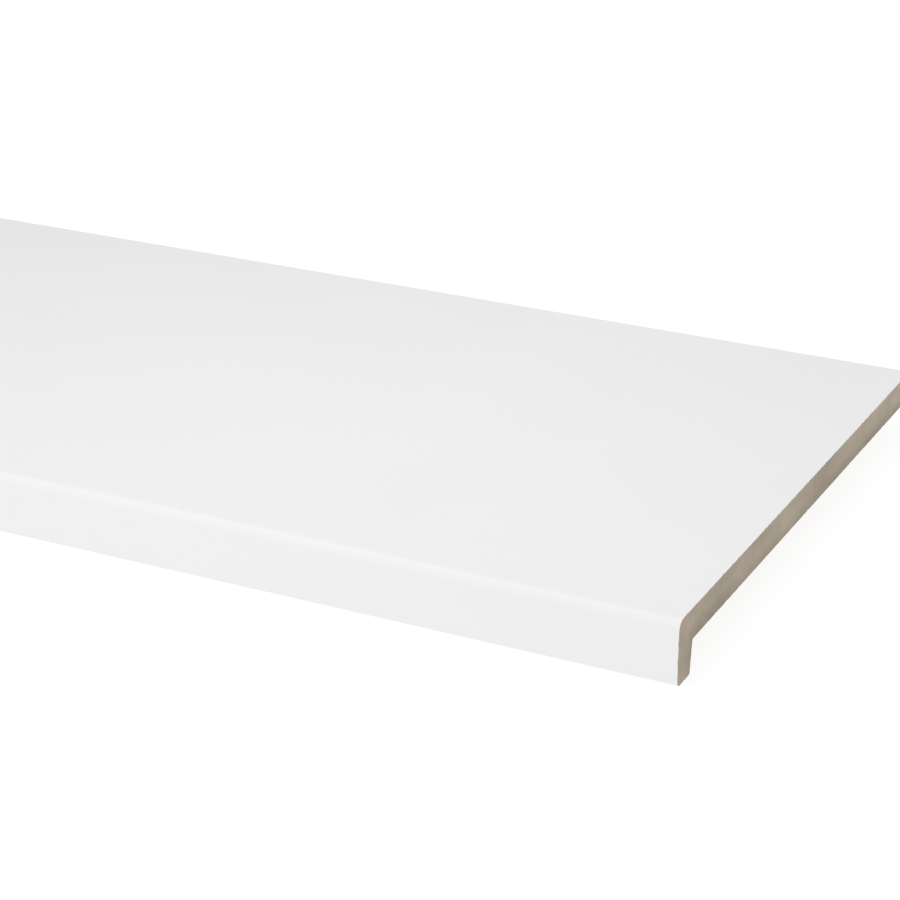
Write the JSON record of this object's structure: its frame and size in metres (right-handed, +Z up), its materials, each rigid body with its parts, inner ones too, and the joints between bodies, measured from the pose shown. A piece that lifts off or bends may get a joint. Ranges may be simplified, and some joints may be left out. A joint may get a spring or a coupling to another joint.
{
  "type": "window sill board",
  "caption": "Window sill board of white-coated fibreboard, L-shaped in section: a flat shelf with a rounded front edge and a nose that hangs down in front of the wall.",
  "frame": {"origin": "under the middle of the board's box, level with the foot of the nose", "axes": "+X along the board, +Y from the nose towards the back edge, +Z up"},
  "size_m": [1.2, 0.4, 0.039],
  "materials": {
    "coated_fibreboard": "smooth satin white coat on the top, the front and the nose; the sawn ends are bare grey-brown fibreboard"
  },
  "bodies": {
    "root": {"window_sill_board": "coated_fibreboard"}
  },
  "joints": []
}
